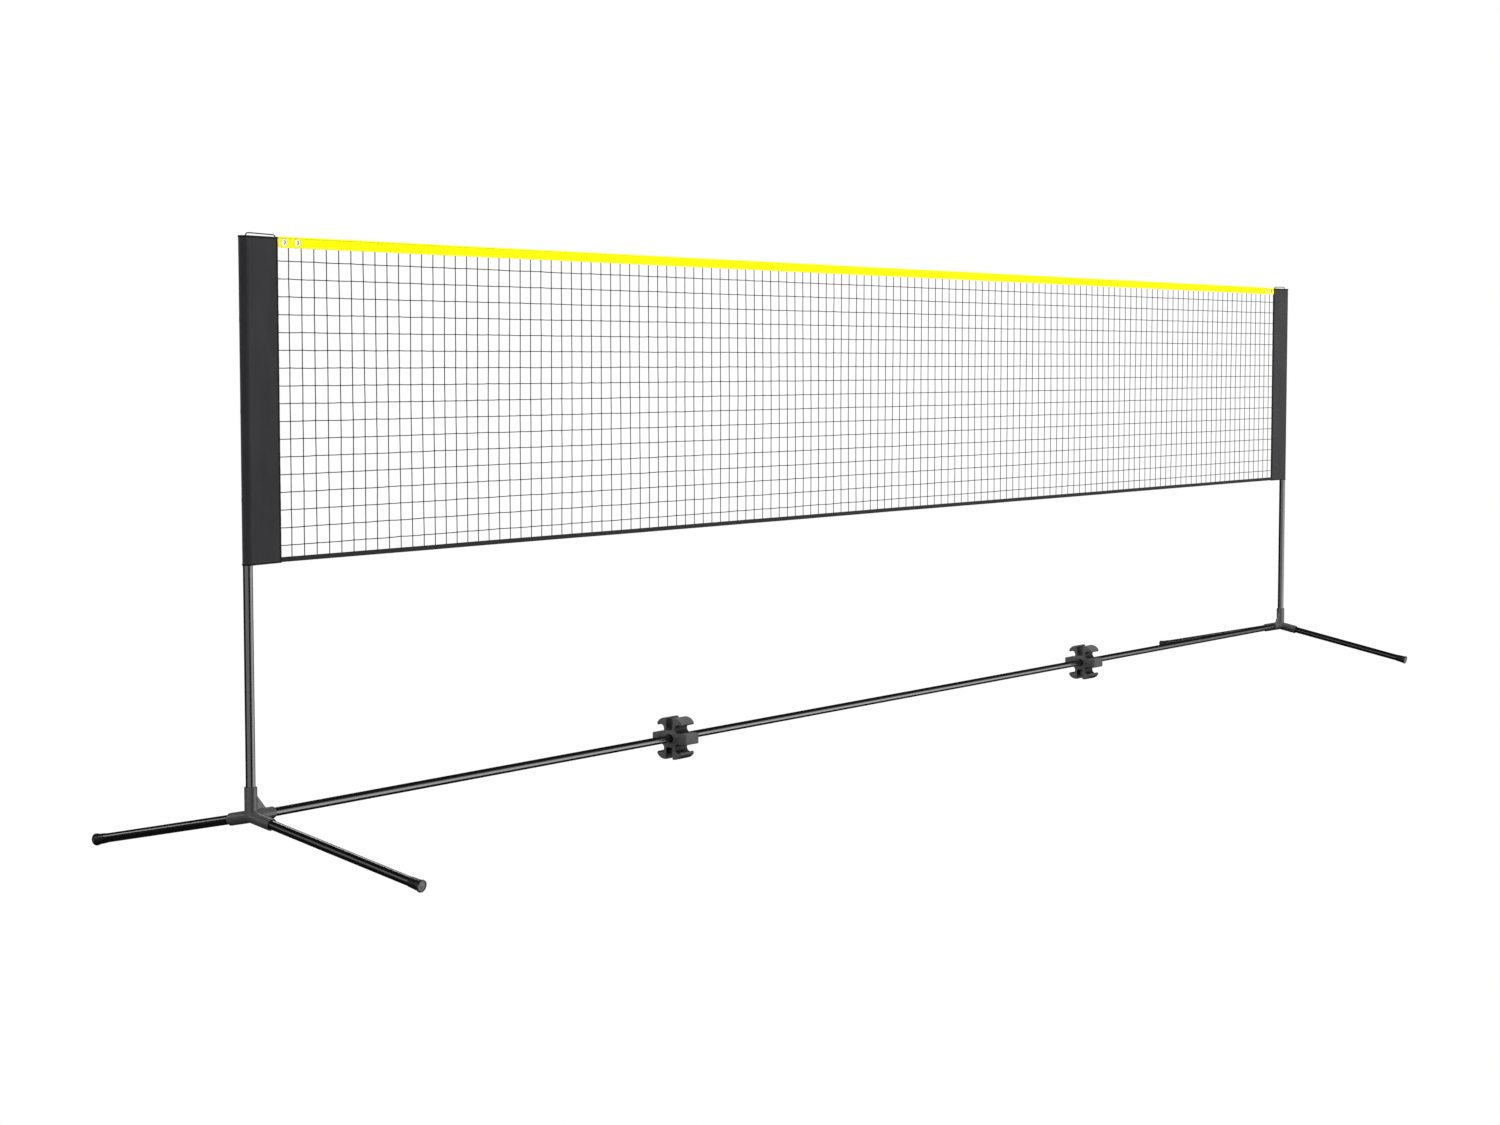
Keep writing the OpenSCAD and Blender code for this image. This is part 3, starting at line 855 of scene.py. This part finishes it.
def add_net():
    """Upright and level threads with a knot at each crossing."""
    shape = bmesh.new()
    across = Vector((0, 1, 0))
    for column in range(UPRIGHTS):
        x = upright_x(column)
        top = Vector((x, drift(x, TAPE_LOW), TAPE_LOW + THREAD_TUCK))
        foot = Vector((x, drift(x, BAND_HIGH), BAND_HIGH - THREAD_TUCK))
        stops = [top] + [crossing(column, row) for row in range(LEVELS)] + [foot]
        sweep(shape, thread_path(stops, Vector((0, 0, 0))), THREAD_R, THREAD_SIDES, across)
    for row in range(LEVELS):
        ends = [Vector((side * (NET_HALF + 0.001), 0, level_z(row))) for side in (-1, 1)]
        stops = ends[:1] + [crossing(column, row) for column in range(UPRIGHTS)] + ends[1:]
        sweep(shape, thread_path(stops, Vector((0, 0, -THREAD_SAG))), THREAD_R, THREAD_SIDES, across)
    finish_piece("net_mesh", shape, IN_PLACE, NET, TWINE, smooth_below=80,
                 stands_for=["net_upright_threads", "net_level_threads"])
    add_knots()


def add_knots():
    """One tied knot at each crossing, a little longer across one diagonal."""
    ball = bmesh.new()
    bmesh.ops.create_icosphere(ball, subdivisions=1, radius=1)
    corners = [corner.co.copy() for corner in ball.verts]
    faces = [[corner.index for corner in face.verts] for face in ball.faces]
    ball.free()
    places = []
    polygons = []
    for column in range(UPRIGHTS):
        for row in range(LEVELS):
            centre = crossing(column, row)
            lean = 45 if (column + row) % 2 else -45
            turn = Matrix.Rotation(math.radians(lean), 3, "Y")
            first = len(places)
            for corner in corners:
                stretched = Vector((corner.x * 1.2, corner.y * 0.85, corner.z * 0.9)) * KNOT_R
                places.append(centre + turn @ stretched)
            polygons += [[first + index for index in face] for face in faces]
    data = bpy.data.meshes.new("net_knots")
    data.from_pydata(places, [], polygons)
    finish_piece("net_knots", data, IN_PLACE, NET, TWINE, smooth_below=80)


# ---- Tape and band ----

STRIP_STEP = 0.015
LAYER_T = 0.0005
TAPE_OUT = 0.00125        # half the thickness of the folded tape
ROLL_R = 0.0019
TAPE_NECK = 0.0045        # from the roll's middle down to the flat of the tape
EYELET_BARREL_R = 0.0063
EYELET_ROOM = 0.012       # no stitch comes nearer to an eyelet's middle


def extrude_strip(outline):
    """Draws a closed (y, z) outline along X, drifting with the net, and closes its ends."""
    count = round(2 * NET_HALF / STRIP_STEP)
    rings = []
    for i in range(count + 1):
        x = -NET_HALF + 2 * NET_HALF * i / count
        rings.append([(x, y + drift(x, z), z) for y, z in outline])
    return folded_strip(rings)


def both_sides(half):
    """Mirrors half of a folded layer in section, and goes on along it from the fold."""
    return half + [(-y, z) for y, z in reversed(half[:-1])]


def tape_outline():
    """The folded tape in section: down its front, over the head cord and down its back."""
    def layer(out, roll):
        legs = [(out, TAPE_LOW + (TAPE_ROLL_Z - TAPE_NECK - TAPE_LOW) * k / 6) for k in range(7)]
        neck = [(out * 0.93, TAPE_ROLL_Z - 0.0026)]
        return both_sides(legs + neck + arc((0, TAPE_ROLL_Z), roll, -30, 90, 8))
    outer = layer(TAPE_OUT, ROLL_R)
    inner = layer(TAPE_OUT - LAYER_T, ROLL_R - 0.00035)
    return outer + list(reversed(inner))


def sideways(centre):
    """Lays a piece's +Z through the net, from behind to in front, at an eyelet's middle."""
    return Matrix.Translation(centre) @ Matrix.Rotation(math.pi / 2, 4, "X")


def add_tape():
    outline = tape_outline()
    strip = extrude_strip(outline)
    cutters = [rod(EYELET_BARREL_R, -0.01, 0.01, sideways(centre), sides=40) for centre in EYELETS.values()]
    data = combine(strip, cutters, "DIFFERENCE")
    tape = finish_piece("top_tape_cloth", data, IN_PLACE, NET, TAPE, smooth_below=50,
                        stands_for=["top_tape"])
    add_strip_stitches("top_tape_stitching", (TAPE_LOW + 0.0035, TAPE_ROLL_Z - TAPE_NECK),
                       YELLOW_THREAD, 0.030)


def band_outline():
    """The bottom band in section: a strip folded round the net's lower edge."""
    def layer(out):
        legs = [(out, BAND_HIGH - (BAND_HIGH - BAND_LOW - 0.002) * k / 3) for k in range(4)]
        return both_sides(legs + arc((0, BAND_LOW + out), out, 0, -90, 5)[1:])
    return layer(TAPE_OUT) + list(reversed(layer(TAPE_OUT - LAYER_T)))


def add_band():
    outline = band_outline()
    strip = extrude_strip(outline)
    band = finish_piece("bottom_band_cloth", strip, IN_PLACE, NET, BAND, smooth_below=50,
                        stands_for=["bottom_band"])
    add_strip_stitches("bottom_band_stitching", (BAND_HIGH - 0.0025,), BLACK_THREAD, 0.004)


def add_strip_stitches(name, heights, thread, inset):
    """Rows of stitches on both faces of a strip; inset keeps them off its ends."""
    pitch = 0.006
    half_stitch = Vector((0.0021, 0, 0))
    shape = bmesh.new()
    count = int(2 * (NET_HALF - inset) / pitch)
    for z in heights:
        for i in range(count + 1):
            x = (i - count / 2) * pitch
            if any(abs(x - eyelet.x) < EYELET_ROOM for eyelet in EYELETS.values()):
                continue
            for face in (-1, 1):
                centre = Vector((x, drift(x, z) + face * TAPE_OUT, z))
                add_stitches(shape, [(centre, half_stitch, Vector((0, face, 0)))])
    finish_piece(name, shape, IN_PLACE, NET, thread, smooth_below=80)


def add_eyelets():
    """Two-part metal rings: a barrel through the tape and a rolled flange on each face."""
    front = [
        (0.0055, -0.0010), (0.0056, -0.0016), (0.0061, -0.0019), (0.0070, -0.0020), (0.0086, -0.0019),
        (0.0095, -0.0017), (0.0099, -0.00135), (0.0097, -0.0012), (EYELET_BARREL_R, -0.0012),
    ]
    profile = front + [(radius, -height) for radius, height in reversed(front)]
    for name, centre in EYELETS.items():
        finish_piece(f"{name}_ring", lathe(profile, sides=56), sideways(centre), NET,
                     NICKEL, smooth_below=50, stands_for=[name])


# ---- Pole sleeves ----

SLEEVE_REACH = POST_X - NET_HALF
EDGE_HALF = 0.002
NOSE_R = half_size("left_pole_sleeve").y
FACE_LEAN = math.asin(NOSE_R / math.hypot(SLEEVE_REACH, EDGE_HALF)) - math.atan2(EDGE_HALF, SLEEVE_REACH)
SEAM_X = 0.0042           # the seam that closes the pocket for the post
SEAM_W = 0.0008
CLOTH_T = 0.0008
ROOF_EDGE = 0.0015        # height of the rounding where the cloth turns in over the top
ROOF_INSET = 0.0012
RING_STEP = 0.008
CREASES = (0.2, 0.47, 0.75)     # fold marks from packing, as parts of the sleeve's height


def sleeve_front(inset):
    """Half a sleeve's outline in front of the post: round nose, flat face and sewn edge."""
    radius = NOSE_R - inset
    nose = arc((0, 0), radius, 180, 270 + math.degrees(FACE_LEAN), 14)
    start_x = nose[-1][0]
    end_x = SLEEVE_REACH - inset - 0.0008
    face_x = [SEAM_X + SEAM_W * k for k in (-2, -1, -0.4, 0.4, 1, 2)]
    face_x += [0.012 + (end_x - 0.012) * k / 17 for k in range(18)]
    flat = [(x, nose[-1][1] + (x - start_x) * math.tan(FACE_LEAN)) for x in face_x]
    return nose + flat + [(SLEEVE_REACH - inset, flat[-1][1] * 0.45), (SLEEVE_REACH - inset, 0)]


def cloth_wave(x, z, face):
    """How far the cloth stands off its plain outline at a place on one face."""
    height = SLEEVE_TOP - SLEEVE_LOW
    up = (z - SLEEVE_LOW) / height
    calm = min(min(up, 1 - up) * 12, 1)
    slack = min(max((x - 0.016) / 0.03, 0), 1) * min(max((SLEEVE_REACH - 0.010 - x) / 0.02, 0), 1)
    soft = noise.noise(Vector((x * 18 + face * 7, 3.1 * face, z * 6)))
    fine = noise.noise(Vector((x * 40, 9.7 * face, z * 22)))
    marks = sum(math.exp(-((z - SLEEVE_LOW - part * height) / 0.004) ** 2) for part in CREASES)
    seam = math.exp(-((x - SEAM_X) / SEAM_W) ** 2)
    return calm * (slack * (0.0012 * soft + 0.0005 * fine) + 0.0004 * marks) + 0.0005 * seam


def sleeve_ring(z, inset):
    """The sleeve's closed outline at one height, wavy as cloth is."""
    ring = []
    front = sleeve_front(inset)
    for face in (-1, 1):
        half = front if face < 0 else list(reversed(front))[1:-1]
        for x, y in half:
            out = cloth_wave(x, z, face)
            if x < 0:
                grown = 1 + out / math.hypot(x, y)
                ring.append((x * grown, -face * y * grown, z))
            else:
                ring.append((x, -face * y + (face * out if abs(y) > 0.0015 else 0), z))
    return ring


def sleeve_mesh():
    """The sleeve as a closed sheet: outer skin, roof, inner skin and the open lower edge."""
    shape = bmesh.new()
    rise = SLEEVE_TOP - ROOF_EDGE - SLEEVE_LOW
    count = round(rise / RING_STEP)
    outer_z = [SLEEVE_LOW + rise * k / count for k in range(count + 1)]
    rings = [sleeve_ring(z, 0) for z in outer_z] + [sleeve_ring(SLEEVE_TOP, ROOF_INSET)]
    rings_in = [sleeve_ring(SLEEVE_TOP - CLOTH_T, ROOF_EDGE)]
    rings_in += [sleeve_ring(z, CLOTH_T) for z in reversed(outer_z[:-1])]
    outer = bridge(shape, rings)
    inner = bridge(shape, rings_in)
    outer_low, inner_low = outer[0], inner[-1]
    for lid in (outer[-1], inner[0]):
        half = len(lid) // 2
        for k in range(1, half - 1):
            shape.faces.new((lid[k], lid[k + 1], lid[-k - 1], lid[-k]))
        shape.faces.new((lid[0], lid[1], lid[-1]))
        shape.faces.new((lid[half - 1], lid[half], lid[half + 1]))
    for k in range(len(outer_low)):
        shape.faces.new((outer_low[k - 1], outer_low[k], inner_low[k], inner_low[k - 1]))
    holes = [
        rod(CORD_HOLE_R, SLEEVE_TOP - 0.004, SLEEVE_TOP + 0.004, Matrix.Translation((x, 0, 0)), sides=24)
        for x in (LOOP_ROUTE[0][0], LOOP_ROUTE[-1][0])
    ]
    return combine(shape, holes, "DIFFERENCE")


def add_sleeve(side_name):
    place = at_post(SIDES[side_name])
    name = f"{side_name}_pole_sleeve"
    sleeve = finish_piece(f"{name}_cloth", sleeve_mesh(), place, NET, SLEEVE,
                          smooth_below=28, stands_for=[name])
    ring = [Vector(point) for point in sleeve_ring(SLEEVE_LOW, 0)]
    trim = [add_edge_binding(side_name, place), add_sleeve_stitches(side_name, place)]
    trim.append(add_end_binding(side_name, "top", place, SLEEVE_TOP, 1, 0.0022))
    trim.append(add_end_binding(side_name, "bottom", place, SLEEVE_LOW, -1, 0.0006))


BINDING_W = 0.0052
BINDING_T = 0.0007


def add_edge_binding(side_name, place):
    """The strip folded round a sleeve's sewn edge, where the net's level threads end."""
    out = EDGE_HALF + BINDING_T
    back = SLEEVE_REACH - BINDING_W
    lean = math.tan(FACE_LEAN) * BINDING_W
    tip = SLEEVE_REACH + BINDING_T
    outer = [
        (back, out + lean), (back + 0.002, out + lean * 0.7), (SLEEVE_REACH - 0.0012, out),
        (tip - 0.0003, out - 0.0007), (tip, out - 0.0016),
    ]
    hem = EDGE_HALF - 0.0001      # the strip's inner face lies just inside the cloth
    inner = [
        (back, hem + lean), (back + 0.002, hem + lean * 0.7), (SLEEVE_REACH - 0.0013, hem),
        (SLEEVE_REACH - 0.0004, hem - 0.0005), (SLEEVE_REACH - 0.0001, hem - 0.0014),
    ]
    front_out = outer + [(x, -y) for x, y in reversed(outer)]
    front_in = inner + [(x, -y) for x, y in reversed(inner)]
    outline = front_out + list(reversed(front_in))
    low, high = SLEEVE_LOW + 0.0004, SLEEVE_TOP - 0.0002
    count = round((high - low) / RING_STEP)
    rings = []
    for i in range(count + 1):
        z = low + (high - low) * i / count
        ripple = 0.00015 * math.sin(z * 160) * min(i, count - i, 1)
        rings.append([(x, y + ripple, z) for x, y in outline])
    return finish_piece(f"{side_name}_sleeve_edge_binding", folded_strip(rings), place, NET,
                        BINDING, smooth_below=45)


END_BINDING_H = 0.0038
END_BINDING_T = 0.0009


def add_end_binding(side_name, end_name, place, end_z, outward, tuck):
    """The narrow strip sewn round a sleeve's top or bottom edge, tucked in a little over it."""
    section = [
        (-END_BINDING_H, 0.0006), (-END_BINDING_H + 0.0003, END_BINDING_T), (-0.0006, END_BINDING_T),
        (0.0002, 0.0003), (0.0002, -tuck), (-0.0002, -tuck), (-0.0004, -0.0002), (-END_BINDING_H, 0.0001),
    ]
    shape = bmesh.new()
    rings = []
    for past_end, rise in section:
        rings.append([(x, y, end_z + outward * past_end) for x, y, _ in sleeve_ring(end_z, -rise)])
    bridge(shape, rings, closed=True)
    return finish_piece(f"{side_name}_sleeve_{end_name}_binding", shape, place, NET,
                        BINDING, smooth_below=45)


def add_sleeve_stitches(side_name, place):
    """Stitches down the edge's binding and round the top and bottom bindings."""
    shape = bmesh.new()
    pitch = 0.005
    half = 0.0018
    column_x = SLEEVE_REACH - BINDING_W + 0.0018
    lean = math.tan(FACE_LEAN) * (SLEEVE_REACH - column_x)
    count = int((SLEEVE_TOP - SLEEVE_LOW - 0.02) / pitch)
    places = []
    for i in range(count):
        z = SLEEVE_LOW + 0.01 + i * pitch
        for face in (-1, 1):
            y = face * (EDGE_HALF + lean + BINDING_T)
            places.append((Vector((column_x, y, z)), Vector((0, 0, half)), Vector((0, face, 0))))
    for z in (SLEEVE_LOW + END_BINDING_H / 2, SLEEVE_TOP - END_BINDING_H / 2):
        ring = [Vector(point) for point in sleeve_ring(z, -END_BINDING_T)]
        for here, along in even_steps(ring + ring[:1], pitch):
            outward = Vector((-along.y, along.x, 0))
            if outward.dot(Vector((here.x * 0.05, here.y, 0))) < 0:
                outward = -outward
            places.append((here, along * half, outward))
    add_stitches(shape, places)
    return finish_piece(f"{side_name}_sleeve_stitching", shape, place, NET, BLACK_THREAD,
                        smooth_below=80)


def even_steps(path, pitch):
    """Places at even distances along a path, each with the path's direction there."""
    steps = []
    due = pitch / 2
    for a, b in zip(path, path[1:]):
        heading = (b - a).normalized()
        while due < (b - a).length:
            steps.append((a + heading * due, heading))
            due += pitch
        due -= (b - a).length
    return steps


# ---- CAD nodes that keep their shape ----


def dress_cad_nodes():
    """Gives each CAD node that stays its own material."""
    dressed = {"upper_post_tube": PAINT, "guide_bush": SLIDE, "slide_plug": SLIDE, "post_cap": SLIDE}
    for side_name in SIDES:
        for ending, material in dressed.items():
            dress(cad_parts[f"{side_name}_{ending}"].data, material)
    dress(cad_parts["head_cord"].data, CORD)


# ---- Floor, world and lights ----

FLOOR_HALF = 60
SEEN_LEVEL = 1.0          # the world's brightness behind the object
FELT_LEVEL = 0.02         # and what it gives to the surfaces


def add_floor():
    """A large white floor that glows as a lightbox does, so that nothing darkens it."""
    data = bpy.data.meshes.new("floor")
    corners = [(x * FLOOR_HALF, y * FLOOR_HALF, 0) for x, y in ((-1, -1), (1, -1), (1, 1), (-1, 1))]
    data.from_pydata(corners, [], [(0, 1, 2, 3)])
    floor = add_object("floor", data)
    paint = Material("floor_paint", grey(0), 1.0, Specular_IOR_Level=0.0, Emission_Color=(1, 1, 1, 1),
                     Emission_Strength=SEEN_LEVEL)
    data.materials.append(paint.data)
    floor.visible_glossy = False
    floor.visible_diffuse = False
    floor.visible_shadow = False


def add_world():
    """White behind the object, and a dimmer grey for what the surfaces reflect."""
    world = bpy.data.worlds.new("studio")
    bpy.context.scene.world = world
    world.use_nodes = True
    tree = world.node_tree
    tree.nodes.clear()
    output = tree.nodes.new("ShaderNodeOutputWorld")
    mix = tree.nodes.new("ShaderNodeMixShader")
    rays = tree.nodes.new("ShaderNodeLightPath")
    tree.links.new(rays.outputs["Is Camera Ray"], mix.inputs["Fac"])
    for socket, level in ((1, FELT_LEVEL), (2, SEEN_LEVEL)):
        shade = tree.nodes.new("ShaderNodeBackground")
        shade.inputs["Color"].default_value = (*grey(level), 1)
        tree.links.new(shade.outputs["Background"], mix.inputs[socket])
    tree.links.new(mix.outputs["Shader"], output.inputs["Surface"])


def add_panel(name, centre, facing, size, radiance, lights=("diffuse", "glossy")):
    """A soft rectangular light that faces a point; lights says what kinds of shading see it."""
    data = bpy.data.lights.new(name, "AREA")
    data.shape = "RECTANGLE"
    data.size, data.size_y = size
    data.energy = radiance * math.pi * size[0] * size[1]
    panel = add_object(name, data)
    panel.location = centre
    aim = Vector(facing) - Vector(centre)
    panel.rotation_euler = aim.to_track_quat("-Z", "Y").to_euler()
    panel.visible_camera = False
    panel.visible_diffuse = "diffuse" in lights
    panel.visible_glossy = "glossy" in lights


def add_lights():
    """Panels that draw the highlights on the gloss paint, and soft light for everything else.

    The front panel reaches below the floor, which lets light through, as a lit floor would.
    """
    add_panel("front_panel", (5.45, -6.5, -2.1), (5.45, 0, -2.1), (15.5, 6.8), 2.6, ("glossy",))
    add_panel("dim_front_panel", (16.1, -6.5, -2.1), (16.1, 0, -2.1), (5.8, 6.8), 0.8, ("glossy",))
    add_panel("front_glow", (8.35, -6.5, 2.95), (8.35, 0, 2.95), (21.3, 3.3), 0.9, ("glossy",))
    add_panel("left_panel", (-12, -3.5, 0.3), (-3, -3.5, 0.3), (17, 6), 1.2)
    add_panel("far_corner_panel", (1, 3.5, 5.8), (-3, -0.4, 0), (2.6, 1.6), 5.0, ("glossy",))
    add_panel("rear_left_panel", (-6, 7, 3.2), (-3, 0.3, 0.1), (3, 1.1), 3.0, ("glossy",))
    add_panel("low_left_panel", (-9.55, 4.2, 2.3), (-3, -0.4, 0.3), (2, 4.2), 0.9, ("glossy",))
    add_panel("soft_front", (3, -5, 5.5), (0, 0, 0.5), (16, 4), 6.3, ("diffuse",))
    add_panel("soft_top", (0, -1, 7), (0, 0, 0), (10, 5), 4.2, ("diffuse",))
    add_panel("soft_left", (-11, 2.5, 2.5), (-3, 0, 0.8), (8, 5), 3.8, ("diffuse",))
    add_panel("soft_rear", (0, 8, 2), (0, 0, 0.8), (14, 4), 6.0, ("diffuse",))


# ---- Everything ----

add_camera()
for side_name in SIDES:
    add_cord_end(side_name)
add_bar()
for side_name in SIDES:
    add_coupler(side_name)
    add_lower_post(side_name)
    add_connector(side_name)
    add_clip(side_name)
    for front_name in FRONT_REAR:
        add_foot(side_name, front_name)
    add_sleeve(side_name)
add_tape()
add_band()
add_net()
add_eyelets()
dress_cad_nodes()
add_floor()
add_world()
add_lights()
bpy.context.scene.view_settings.view_transform = "Standard"
